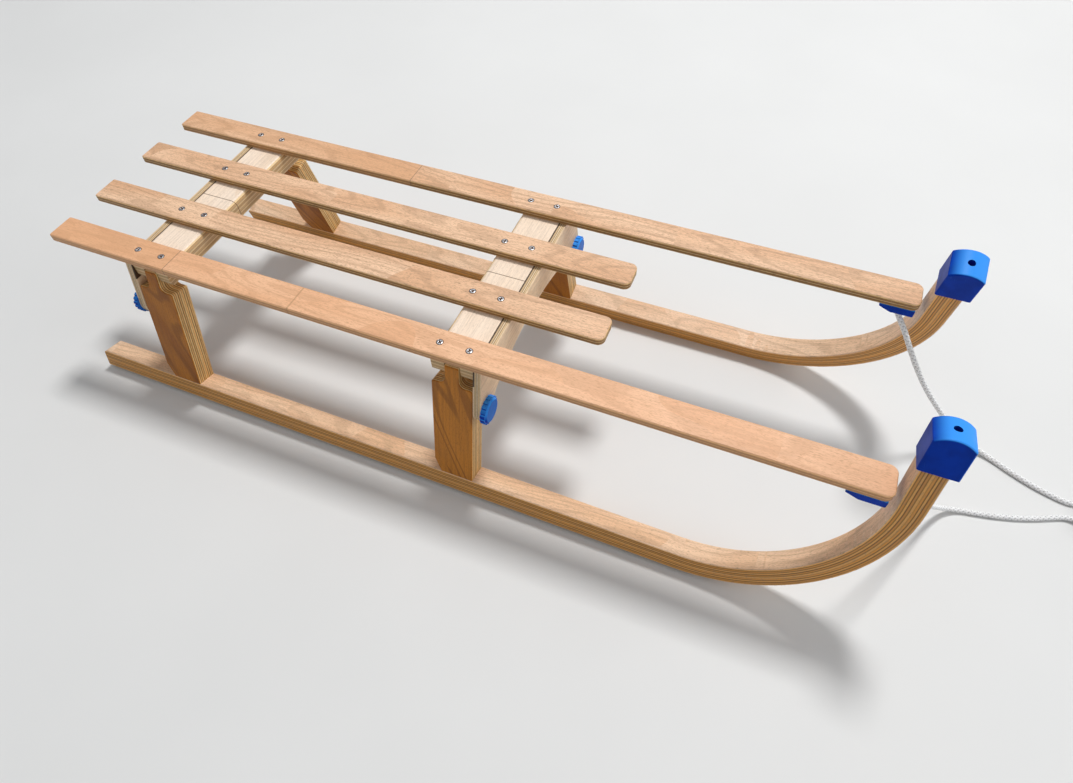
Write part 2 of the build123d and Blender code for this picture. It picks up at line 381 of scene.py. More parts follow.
@dataclass(frozen=True)
class VeneerJoints:
    """Fine lines where the face veneers of the outer slats are joined, in metres from the middle.

    The right slat has two joints and the left slat has one. The veneer behind the first joint of each slat
    has its own tone, and so has the whole right slat.
    """

    right: float = -358.0 * MM
    left: float = -153.0 * MM
    right_second: float = -174.0 * MM
    outer_from: float = 100.0 * MM
    line: Colour = (0.16, 0.08, 0.05)
    second_line: Colour = (0.42, 0.22, 0.10)
    behind: Colour = (0.66, 0.33, 0.15)
    right_slat: Colour = (0.86, 0.43, 0.22)

    def draw(self, bench: Bench, spot: Spot, colour: Feed) -> Feed:
        """Tones the veneers and draws the lines between them.

        Args:
            bench: The material's bench.
            spot: The place in the slats.
            colour: The colour so far.

        Returns:
            The colour with the lines.
        """
        is_left = bench.math("GREATER_THAN", spot.across, 0.0)
        joint = bench.total((self.left - self.right, is_left), (1.0, self.right))
        outer = bench.math("GREATER_THAN", bench.math("ABSOLUTE", spot.across), self.outer_from)
        on_right = bench.math("LESS_THAN", spot.across, -self.outer_from)
        first_gap = bench.math("ABSOLUTE", bench.math("SUBTRACT", spot.along, joint))
        second_gap = bench.math("ABSOLUTE", bench.math("SUBTRACT", spot.along, self.right_second))
        behind = bench.math("MULTIPLY", bench.math("LESS_THAN", spot.along, joint), outer)
        first = bench.math("MULTIPLY", bench.ramp(first_gap, 0.15 * MM, 0.6 * MM, 0.8, 0.0), outer)
        second = bench.math("MULTIPLY", bench.ramp(second_gap, 0.4 * MM, 1.6 * MM, 0.55, 0.0), on_right)
        colour = bench.mix(bench.math("MULTIPLY", on_right, 0.4), colour, self.right_slat)
        colour = bench.mix(bench.math("MULTIPLY", behind, 0.3), colour, self.behind)
        colour = bench.mix(second, colour, self.second_line)
        return bench.mix(first, colour, self.line)


@dataclass(frozen=True)
class Plywood:
    """Varnished plywood or laminated wood whose plies show on its edges.

    The base is where the first ply begins, the skew slants the veneer's figure, the seam is how far a dark
    line in the middle of the sled reaches to each side, and the contact is the depth at which a beam lies
    against the board, where a line of painted shade is drawn. Lengths are in metres. A scale is how many
    features there are per metre, along the grain and across it.
    """

    name: str
    lay: Lay
    thickness: float
    ply: float
    face: Colour
    face_dark: Colour
    long_ply: Colour
    cross_ply: Colour
    glue: Colour
    base: float = 0.0
    glue_width: float = 0.3 * MM
    ring_contrast: float = 0.35
    ring_count: float = 95.0
    skew: float = 0.0
    fleck_contrast: float = 0.35
    roughness: float = 0.48
    seam: float = 0.0
    contact: float | None = None
    joints: VeneerJoints | None = None
    wander: float = 0.4
    wander_scale: Scale = (6.0, 6.0)
    ply_offset: float = 3.7
    skin_share: float = 0.35
    figure_scale: Scale = (2.6, 17.0)
    patch_scale: Scale = (4.0, 20.0)
    streak_scale: Scale = (14.0, 420.0)
    fleck_scale: Scale = (240.0, 1500.0)
    ray_scale: Scale = (110.0, 750.0)

    def spot(self, bench: Bench) -> Spot:
        """Where a place lies in the board, with its depth counted from the first ply.

        Args:
            bench: The material's bench.

        Returns:
            The place in the board.
        """
        if self.lay in (Lay.LEG, Lay.RUNNER):
            along, across, depth = Lean().spot(bench, self.lay is Lay.RUNNER)
        else:
            x, y, z = bench.place()
            along, across, depth = {Lay.SLAT: (x, y, z), Lay.BEAM: (y, x, z), Lay.PLATE: (y, z, x)}[self.lay]
        if self.base:
            depth = bench.math("SUBTRACT", depth, self.base)
        return Spot(along, across, depth)

    def sheet(self, bench: Bench, scale: Scale, spot: Spot, detail: float, roughness: float = 0.5) -> Feed:
        """Noise over one ply that is the same through its whole thickness.

        Args:
            bench: The material's bench.
            scale: Features per metre along the grain and across it.
            spot: The place, with the ply's own number in place of a depth.
            detail: The number of finer layers.
            roughness: How strong those layers are.

        Returns:
            The noise.
        """
        along = bench.total((scale[0], spot.along))
        across = bench.total((scale[1], spot.across))
        return bench.noise(bench.vector(along, across, spot.depth), detail, roughness)

    def grain(self, bench: Bench, scale: Scale, spot: Spot, detail: float) -> Feed:
        """Noise stretched along the grain.

        Args:
            bench: The material's bench.
            scale: Features per metre along the grain, and across it and through the plies.
            spot: The place in the board.
            detail: The number of finer layers.

        Returns:
            The noise.
        """
        weights = (scale[0], scale[1], scale[1])
        return bench.noise(bench.vector(*[bench.total(term) for term in zip(weights, spot)]), detail, 0.6)

    def stack(self, bench: Bench, spot: Spot) -> Stack:
        """Finds the ply of a place.

        The plies wander a little from their even spacing. Every second one is cut across the grain, each has
        its own tone, and between them lie thin glue lines, some stronger than others.

        Args:
            bench: The material's bench.
            spot: The place in the board.

        Returns:
            What the place finds there.
        """
        wander = self.sheet(bench, self.wander_scale, spot._replace(depth=0.0), 1.0)
        layer = bench.total((1.0 / self.ply, spot.depth), (self.wander, wander), (-0.5 * self.wander, 1.0))
        index = bench.math("FLOOR", layer)
        inside = bench.math("FRACT", layer)
        skin = bench.math(
            "MAXIMUM",
            bench.math("GREATER_THAN", spot.depth, self.thickness - self.skin_share * self.ply),
            bench.math("LESS_THAN", spot.depth, self.skin_share * self.ply),
        )
        nearest = bench.math("MINIMUM", inside, bench.math("SUBTRACT", 1.0, inside))
        rim = bench.math("MULTIPLY", nearest, self.ply)
        line = bench.chance(bench.math("FLOOR", bench.math("ADD", layer, 0.5)))
        strength = bench.total((0.65, line), (0.35, 1.0))
        glue = bench.math(
            "MULTIPLY",
            bench.ramp(rim, 0.25 * self.glue_width, self.glue_width, 1.0, 0.0),
            bench.math("MULTIPLY", strength, bench.math("SUBTRACT", 1.0, skin)),
        )
        tone = bench.chance(bench.math("ADD", index, 0.5))
        return Stack(index, tone, bench.math("PINGPONG", index, 1.0), skin, glue)

    def veneer(self, bench: Bench, spot: Spot, index: Feed) -> tuple[Feed, Feed]:
        """The figure of the face veneer: contour lines of a stretched noise, as peeled veneer has.

        Args:
            bench: The material's bench.
            spot: The place in the board.
            index: The number of its ply.

        Returns:
            The contour lines from -1 to 1, and the veneer's colour.
        """
        slanted = bench.total((1.0, spot.across), (self.skew, spot.along))
        sheet = Spot(spot.along, slanted, bench.total((self.ply_offset, index)))
        figure = self.sheet(bench, self.figure_scale, sheet, 1.5, 0.45)
        patch = self.sheet(bench, self.patch_scale, sheet, 2.0)
        rings = bench.math("SINE", bench.math("MULTIPLY", figure, self.ring_count))
        toned = bench.mix(bench.ramp(patch, 0.3, 0.72), self.face, self.face_dark)
        share = bench.math("MULTIPLY", bench.ramp(rings, 0.2, 1.0), self.ring_contrast)
        return rings, bench.mix(share, toned, darker(0.6, self.face_dark))

    def edge(self, bench: Bench, stack: Stack) -> Feed:
        """The colour of the plies where they show on an edge.

        Args:
            bench: The material's bench.
            stack: What the place finds among the plies.

        Returns:
            The colour.
        """
        plies = bench.mix(stack.parity, self.long_ply, self.cross_ply)
        return bench.mix(bench.math("MULTIPLY", stack.tone, 0.4), plies, darker(0.6, self.cross_ply))

    def lines(self, bench: Bench, spot: Spot, colour: Feed) -> Feed:
        """Draws what belongs to some boards only: veneer joints, the seam, and a line of painted shade beside
        a beam.

        Args:
            bench: The material's bench.
            spot: The place in the board.
            colour: The colour so far.

        Returns:
            The colour with the lines.
        """
        if self.joints:
            colour = self.joints.draw(bench, spot, colour)
        if self.seam:
            seam = bench.ramp(bench.math("ABSOLUTE", spot.along), 0.5 * self.seam, self.seam, 0.9, 0.0)
            colour = bench.mix(seam, colour, self.glue)
        if self.contact is not None:
            # Painted shade: a dark line, in the glue's colour, beside the place where a beam lies against the
            # board
            gap = bench.math("ABSOLUTE", bench.math("SUBTRACT", spot.depth, self.contact))
            near = bench.ramp(gap, 1.4 * MM, 2.1 * MM, 0.97, 0.0)
            beside_beam = bench.math("GREATER_THAN", spot.across, BEAM_UNDERSIDE * MM)
            colour = bench.mix(bench.math("MULTIPLY", near, beside_beam), colour, self.glue)
        return colour

    def make(self) -> bpy.types.Material:
        """Builds the material: veneer on the faces, plies on the edges, and flecks and streaks over both.

        Returns:
            The material.
        """
        bench = Bench(self.name)
        spot = self.spot(bench)
        stack = self.stack(bench, spot)
        rings, veneer = self.veneer(bench, spot, stack.index)
        streak = self.grain(bench, self.streak_scale, spot, 4.0)
        fleck = bench.ramp(self.grain(bench, self.fleck_scale, spot, 1.0), 0.55, 0.66)
        ray = bench.ramp(self.grain(bench, self.ray_scale, spot, 2.0), 0.55, 0.68)
        marks = bench.total((0.7, fleck), (0.6, ray))
        mark_colour = darker(0.5, self.face_dark)

        colour = bench.mix(stack.skin, self.edge(bench, stack), veneer)
        colour = bench.mix(bench.ramp(streak, 0.3, 0.6, 0.3, 0.0), colour, mark_colour)
        colour = bench.mix(bench.math("MULTIPLY", marks, self.fleck_contrast), colour, mark_colour)
        colour = bench.mix(bench.math("MULTIPLY", stack.glue, 0.85), colour, self.glue)
        colour = self.lines(bench, spot, colour)

        rough = bench.total((0.14, streak), (0.10, fleck), (1.0, self.roughness - 0.09))
        relief = bench.total((0.5, streak), (-0.6, fleck), (-0.5, stack.glue), (0.15, rings))
        bench.bump(relief, 0.12 * MM, 0.6)
        return bench.coat(colour, rough, Specular_IOR_Level=0.3)


@dataclass(frozen=True)
class Moulded:
    """A dull moulded surface with a fine spark, faint flow marks, paler scuffs and painted sunlight on its
    tops.

    What faces up and ahead is painted lighter, as painted light from the sun that falls there.
    """

    name: str
    colour: Colour
    painted_sunlit: Colour
    scuff: Colour
    roughness: float = 0.4
    spark_scale: float = 2600.0
    flow_scale: float = 55.0

    def make(self) -> bpy.types.Material:
        """Builds the material.

        Returns:
            The material.
        """
        bench = Bench(self.name)
        spark = bench.cloud(self.spark_scale, 2.0, 0.6)
        flow = bench.cloud(self.flow_scale, 3.0, 0.5)
        x, y, z = bench.place()
        # Scratches are fine along x, slant a little in z, and are long along y
        slanted = bench.total((900.0, x), (300.0, z))
        scratches = bench.vector(slanted, bench.total((70.0, y)), bench.total((90.0, z)))
        scratch = bench.ramp(bench.noise(scratches, 3.0, 0.6), 0.66, 0.74)
        # Painted light: faces that look up and ahead are mixed towards a lighter colour, where the sun falls
        ahead, _, up = bench.split(bench.add("ShaderNodeTexCoord").outputs["Normal"])
        painted_sun_share = bench.total((0.5, ahead), (0.9, up))

        colour = bench.mix(bench.ramp(flow, 0.3, 0.75), self.colour, darker(0.72, self.colour))
        colour = bench.mix(bench.ramp(painted_sun_share, 0.25, 0.8), colour, self.painted_sunlit)
        colour = bench.mix(bench.math("MULTIPLY", scratch, 0.35), colour, self.scuff)
        rough = bench.total((0.16, flow), (0.25, scratch), (1.0, self.roughness - 0.08))
        bench.bump(bench.total((0.6, spark), (0.5, flow), (-0.5, scratch)), 0.05 * MM, 0.4)
        return bench.coat(colour, rough, Specular_IOR_Level=0.06)


@dataclass(frozen=True)
class Zinc:
    """Zinc plated steel, faintly mottled."""

    name: str
    colour: Colour
    mottle_scale: float = 1300.0

    def make(self) -> bpy.types.Material:
        """Builds the material.

        Returns:
            The material.
        """
        bench = Bench(self.name)
        mottle = bench.cloud(self.mottle_scale, 3.0, 0.6)
        colour = bench.mix(bench.ramp(mottle, 0.4, 0.75), self.colour, darker(0.55, self.colour))
        bench.bump(mottle, 0.03 * MM, 0.4)
        return bench.coat(colour, bench.total((0.3, mottle), (1.0, 0.22)), Metallic=1.0)


@dataclass(frozen=True)
class Braid:
    """Rope yarn: fine filaments along each yarn, a little dirt, and painted shade along each yarn's edges, in
    the creases between yarns.

    The map has turns round the yarn and metres along it. The filaments are given in radians, per turn round
    the yarn and per metre along it.
    """

    name: str
    colour: Colour
    dirt_and_crease_shade: Colour
    map_name: str = "yarn"
    filaments: Scale = (22.0, 2600.0)
    dirt_scale: float = 60.0

    def make(self) -> bpy.types.Material:
        """Builds the material.

        Returns:
            The material.
        """
        bench = Bench(self.name)
        around, along = bench.own_map(self.map_name)
        filament = bench.math("SINE", bench.total(*zip(self.filaments, (around, along))))
        crest = bench.math("ABSOLUTE", bench.math("COSINE", bench.total((2 * math.pi, around))))
        edge = bench.math("POWER", crest, 5.0)
        cloud = bench.cloud(self.dirt_scale, 4.0, 0.6)
        colour = bench.mix(bench.ramp(cloud, 0.45, 0.75, 0.0, 0.4), self.colour, self.dirt_and_crease_shade)
        colour = bench.mix(bench.ramp(filament, -1.0, 0.2, 0.25, 0.0), colour, darker(0.6, self.dirt_and_crease_shade))
        # Painted shade: each yarn is darker at its edges, in the creases where it meets the next yarn
        colour = bench.mix(bench.math("MULTIPLY", edge, 0.7), colour, darker(0.4, self.dirt_and_crease_shade))
        bench.bump(bench.total((1.0, filament), (-2.0, edge)), 0.10 * MM, 0.6)
        return bench.coat(colour, 0.78, Sheen_Weight=0.25, Sheen_Roughness=0.5)


@dataclass(frozen=True)
class Webbing:
    """Woven strap: ribs along it, crossed by the weft. Its map has metres across it and along it."""

    name: str
    colour: Colour
    worn: Colour
    map_name: str = "strap"
    rib: float = 1.2 * MM
    weft: float = 0.7 * MM
    fluff_scale: float = 400.0

    def make(self) -> bpy.types.Material:
        """Builds the material.

        Returns:
            The material.
        """
        bench = Bench(self.name)
        across, along = bench.own_map(self.map_name)
        ribs = bench.math("SINE", bench.total((2 * math.pi / self.rib, across)))
        wefts = bench.math("SINE", bench.total((2 * math.pi / self.weft, along)))
        weave = bench.math("MULTIPLY", ribs, wefts)
        fluff = bench.cloud(self.fluff_scale, 3.0, 0.6)
        colour = bench.mix(bench.ramp(fluff, 0.4, 0.8, 0.0, 0.5), self.colour, self.worn)
        colour = bench.mix(bench.ramp(weave, 0.0, 1.0, 0.0, 0.4), colour, self.worn)
        bench.bump(bench.total((1.0, weave), (0.5, fluff)), 0.1 * MM, 0.6)
        return bench.coat(colour, 0.85, Specular_IOR_Level=0.25)


def grid_mesh(
    name: str, points: np.ndarray, closed_rows: bool, uv_name: str = "", uv: np.ndarray | None = None,
) -> bpy.types.Object:
    """Makes an object from grids of points, each grid a surface of two parameters.

    Points that lie together are merged, which closes poles and rings.

    Args:
        name: The object's name.
        points: Points as (grids, rows, columns, 3), in metres.
        closed_rows: Whether each row is a closed loop.
        uv_name: The name of a UV map, or nothing.
        uv: Its values at the points, as (grids, rows, columns + 1, 2) for closed rows.

    Returns:
        The object, at the origin.
    """
    grids, rows, columns, _ = points.shape
    quads_across = columns if closed_rows else columns - 1
    grid, row, column = np.indices((grids, rows - 1, quads_across))
    after = (column + 1) % columns
    start = grid * rows * columns
    corners = np.stack([
        start + row * columns + column,
        start + row * columns + after,
        start + (row + 1) * columns + after,
        start + (row + 1) * columns + column,
    ], axis=-1).reshape(-1, 4)
    mesh = bpy.data.meshes.new(name)
    mesh.from_pydata(points.reshape(-1, 3).tolist(), [], corners.tolist())
    if uv is not None:
        layer = mesh.uv_layers.new(name=uv_name)
        picked = np.stack([
            uv[grid, row, column],
            uv[grid, row, column + 1],
            uv[grid, row + 1, column + 1],
            uv[grid, row + 1, column],
        ], axis=-2).reshape(-1, 2)
        layer.data.foreach_set("uv", picked.astype(np.float32).ravel())
    weld = bmesh.new()
    weld.from_mesh(mesh)
    bmesh.ops.remove_doubles(weld, verts=weld.verts, dist=1e-6)
    weld.to_mesh(mesh)
    weld.free()
    mesh.polygons.foreach_set("use_smooth", np.ones(len(mesh.polygons), bool))
    mesh.update()
    made = bpy.data.objects.new(name, mesh)
    bpy.context.scene.collection.objects.link(made)
    return made


def unit(vectors: np.ndarray) -> np.ndarray:
    """Rows of vectors, each brought to length 1."""
    return vectors / np.linalg.norm(vectors, axis=1, keepdims=True)


def closed_ends(count: int) -> np.ndarray:
    """Ones with a zero at each end, by which a tube's first and last ring shrink to a point."""
    return np.r_[0.0, np.ones(count - 2), 0.0]


@dataclass(frozen=True)
class Coil:
    """The rope that is wound up on the ground, in millimetres and degrees."""

    centre: tuple[float, float] = (1364.0, 62.0)
    # How far it has turned, and there the radius and height of the rope's line
    winding: tuple[tuple[float, float, float], ...] = (
        (0, 39.4, 3.3),
        (300, 39.4, 3.3),
        (360, 32.8, 3.4),
        (620, 32.8, 3.4),
        (670, 36.2, 9.6),
        (960, 36.2, 9.4),
        (990, 36.4, 10.4),
    )
    start_angle: float = 150.0
    points_per_turn: int = 16

    @property
    def turned_in_all(self) -> float:
        """How far the whole coil turns."""
        return self.winding[-1][0]

    def line_at(self, turned: np.ndarray) -> np.ndarray:
        """Radius and height of the rope's line.

        Args:
            turned: How far it has turned there.

        Returns:
            Pairs of a radius and a height, as (count, 2).
        """
        angles, radii, heights = np.array(self.winding, float).T
        return np.c_[np.interp(turned, angles, radii), np.interp(turned, angles, heights)]

    def points(self) -> np.ndarray:
        """The control points of the turns.

        The rope's line touches the middle of each stretch between two of them. So they lie further out than
        the turns, by one over the cosine of half a step, and the line keeps to the turns.

        Returns:
            Points as (count, 3).
        """
        turned = np.arange(0, self.turned_in_all + 1, 360 / self.points_per_turn)
        radius, height = self.line_at(turned).T
        radius = radius / math.cos(math.pi / self.points_per_turn)
        heading = np.radians(self.start_angle - turned)
        x, y = self.centre
        return np.c_[x + radius * np.cos(heading), y + radius * np.sin(heading), height]


@dataclass(frozen=True)
class Tie:
    """The strap that holds the coil together, one band wound a little over one turn, in millimetres."""

    heading: float = 15.0
    width: float = 12.0
    thickness: float = 0.7
    wraps: float = 1.3
    starts_at: float = -0.2
    clearance: float = 0.2
    pitch: float = 1.1
    rows: int = 112
    finish: Webbing = Webbing(name="woven_strap", colour=(0.02, 0.021, 0.024), worn=(0.075, 0.077, 0.085))

    def band(self, coil: Coil, rope_radius: float) -> tuple[np.ndarray, np.ndarray]:
        """The middle line of the band, in the upright plane that it lies in.

        Where the strap crosses the coil, each turn of the rope is a disc. In the direction n the band lies
        at the centre of the disc that is furthest along n, plus n times the rope's radius, the clearance and
        half the strap. Each turn of the band lies a little over one thickness further out, and none of it
        goes under the ground.

        Args:
            coil: The coil.
            rope_radius: The rope's radius.

        Returns:
            Pairs of a radius from the coil's middle and a height, and the direction n at each.
        """
        discs = coil.line_at(np.arange(coil.start_angle - self.heading, coil.turned_in_all, 360))
        wound = np.linspace(0, self.wraps, self.rows)
        angle = 2 * np.pi * (wound + self.starts_at)
        way = np.c_[np.cos(angle), np.sin(angle)]
        reach = rope_radius + self.clearance + self.thickness * (0.5 + self.pitch * wound)
        line = discs[np.argmax(way @ discs.T, axis=1)] + reach[:, None] * way
        line[:, 1] = np.maximum(line[:, 1], self.thickness * (0.6 + 0.8 * (wound > 1)))
        return line, way

    def build(self, coil: Coil, rope_radius: float) -> bpy.types.Object:
        """Makes the strap.

        Args:
            coil: The coil.
            rope_radius: The rope's radius.

        Returns:
            The strap.
        """
        line, way = self.band(coil, rope_radius)
        corner = np.array([(-1, -1), (-1, 0), (-1, 1), (0, 1), (1, 1), (1, 0), (1, -1), (0, -1)]) / 2
        full = closed_ends(self.rows)[:, None]
        aside = full * corner[:, 0] * self.width
        out = full * corner[:, 1] * self.thickness
        radial = line[:, :1] + out * way[:, :1]
        height = line[:, 1:] + out * way[:, 1:]
        cosine, sine = math.cos(math.radians(self.heading)), math.sin(math.radians(self.heading))
        x = radial * cosine - aside * sine + coil.centre[0] - MIDDLE
        y = radial * sine + aside * cosine + coil.centre[1]
        length = np.r_[0, np.cumsum(np.linalg.norm(np.diff(line, axis=0), axis=1))]
        uv = np.stack(np.meshgrid(np.r_[corner[:, 0], -0.5] * self.width, length), axis=-1) * MM
        points = np.stack([x, y, height], axis=-1) * MM
        strap = grid_mesh("coil_tie", points[None], True, self.finish.map_name, uv[None])
        strap.data.materials.append(self.finish.make())
        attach(strap, "seat")
        LOG.info("coil_tie: %.0f mm of strap", length[-1])
        return strap


@dataclass(frozen=True)
class Rope:
    """The tow rope: a strand from each bracket to the ground, and the rest wound into a neat coil.

    The routes are in millimetres, as the construction has them, and so are the coil and its tie. Everything
    else is in metres.
    """

    radius: float = 3.25 * MM
    step: float = 1.8 * MM
    length: float = 1.5
    # The yarns of each way, and how far a yarn goes in one turn round the rope
    yarns: int = 4
    lead: float = 27.0 * MM
    yarn_middle: float = 2.44 * MM
    yarn_wave: float = 0.26 * MM
    yarn_half_width: float = 1.6 * MM
    yarn_half_thickness: float = 0.78 * MM
    ring_points: int = 8
    left_route: tuple[tuple[float, float, float], ...] = (
        (1025, 121, 205),
        (1034, 118, 192),
        (1045, 114.3, 179),
        (1062, 103.5, 156),
        (1094, 103.5, 108),
        (1136, 109, 57),
        (1172, 116, 15.5),
        (1206, 113, 3.4),
        (1240, 95, 3.3),
        (1268, 83, 3.3),
        (1297, 74.5, 3.3),
        (1312, 73, 3.3),
    )
    right_route: tuple[tuple[float, float, float], ...] = (
        (1025, -134.5, 205),
        (1026, -134, 189.5),
        (1033, -129, 177.5),
        (1046, -118, 171.5),
        (1066, -101, 160),
        (1092, -72, 115),
        (1124, -37, 64),
        (1153, -3, 18),
        (1176, 12, 3.3),
        (1208, 17, 3.3),
        (1238, 24, 3.3),
        (1268, 34, 3.3),
        (1296, 47.5, 3.3),
        (1308, 51, 3.4),
        (1318.5, 48.5, 5.5),
        (1327, 43, 10.4),
        (1335.5, 36.8, 10.6),
    )
    coil: Coil = Coil()
    tie: Tie = Tie()
    finish: Braid = Braid(name="braided_rope", colour=(0.96, 0.96, 0.96), dirt_and_crease_shade=(0.74, 0.73, 0.71))

    def centreline(self) -> np.ndarray:
        """Points along the smooth line of the rope, evenly spaced.

        The control points go from the left bracket round the coil to the right bracket, and a quadratic
        spline follows them.

        Returns:
            Points as (count, 3).
        """
        route = np.concatenate([self.left_route, self.coil.points(), self.right_route[::-1]])
        points = (route - (MIDDLE, 0, 0)) * MM
        curve = bpy.data.curves.new("rope_line", "CURVE")
        curve.dimensions = "3D"
        curve.resolution_u = 24
        spline = curve.splines.new("NURBS")
        spline.points.add(len(points) - 1)
        spline.points.foreach_set("co", np.c_[points, np.ones(len(points))].ravel())
        spline.order_u = 3
        spline.use_endpoint_u = True
        holder = bpy.data.objects.new("rope_line", curve)
        bpy.context.scene.collection.objects.link(holder)
        line = bpy.data.meshes.new_from_object(holder)
        read = np.zeros(len(line.vertices) * 3)
        line.vertices.foreach_get("co", read)
        read = read.reshape(-1, 3)
        bpy.data.objects.remove(holder)
        bpy.data.meshes.remove(line)
        bpy.data.curves.remove(curve)
        travelled = np.r_[0, np.cumsum(np.linalg.norm(np.diff(read, axis=0), axis=1))]
        even = np.linspace(0, travelled[-1], round(travelled[-1] / self.step))
        return np.stack([np.interp(even, travelled, read[:, axis]) for axis in range(3)], axis=1)

    def yarn(self, line: np.ndarray, way: int, number: int) -> tuple[np.ndarray, np.ndarray]:
        """One yarn of the braid, a flattened tube that winds round the rope's line.

        At distance s the yarn stands at the angle way 2 pi s / lead + 2 pi number / yarns, and its distance
        from the line rises and falls as cos(2 yarns pi s / lead), so that the two ways go over and under.

        Args:
            line: The rope's line.
            way: 1 for right-handed yarns and -1 for left-handed ones.
            number: Which of its family it is.

        Returns:
            The points as (rows, columns, 3), and its map as (rows, columns + 1, 2).
        """
        forward = unit(np.gradient(line, axis=0))
        aside = unit(np.cross(forward, (0.0, 0.0, 1.0)))
        above = np.cross(aside, forward)
        travelled = np.arange(len(line)) * np.linalg.norm(line[1] - line[0])
        angle = way * 2 * np.pi * travelled / self.lead + 2 * np.pi * number / self.yarns
        wave = np.cos(2 * self.yarns * np.pi * travelled / self.lead)
        reach = self.yarn_middle + way * self.yarn_wave * wave
        outward = np.cos(angle)[:, None] * aside + np.sin(angle)[:, None] * above
        centre = line + outward * reach[:, None]
        broad = np.cross(outward, unit(np.gradient(centre, axis=0)))
        round_way = np.cross(forward, outward)
        broad *= np.sign(np.einsum("ij,ij->i", broad, round_way) * way)[:, None]
        turn = np.linspace(0, 2 * np.pi, self.ring_points, endpoint=False) * -way
        across = (self.yarn_half_width * np.cos(turn))[None, :, None] * broad[:, None, :]
        through = (self.yarn_half_thickness * np.sin(turn))[None, :, None] * outward[:, None, :]
        shape = centre[:, None, :] + closed_ends(len(line))[:, None, None] * (across + through)
        around, along = np.meshgrid(np.linspace(0, 1, self.ring_points + 1), travelled)
        return shape, np.stack([around, along], axis=-1)

    def build(self) -> None:
        line = self.centreline()
        made = [self.yarn(line, way, number) for way in (1, -1) for number in range(self.yarns)]
        points, uv = (np.stack(part) for part in zip(*made))
        rope = grid_mesh("tow_rope", points, True, self.finish.map_name, uv)
        rope.data.materials.append(self.finish.make())
        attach(rope, "seat")
        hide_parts("rope_strand_left", "rope_strand_right", "rope_coil")
        self.tie.build(self.coil, self.radius / MM)
        measured = np.linalg.norm(np.diff(line, axis=0), axis=1).sum()
        LOG.info("tow_rope: %.3f m of braided rope", measured)


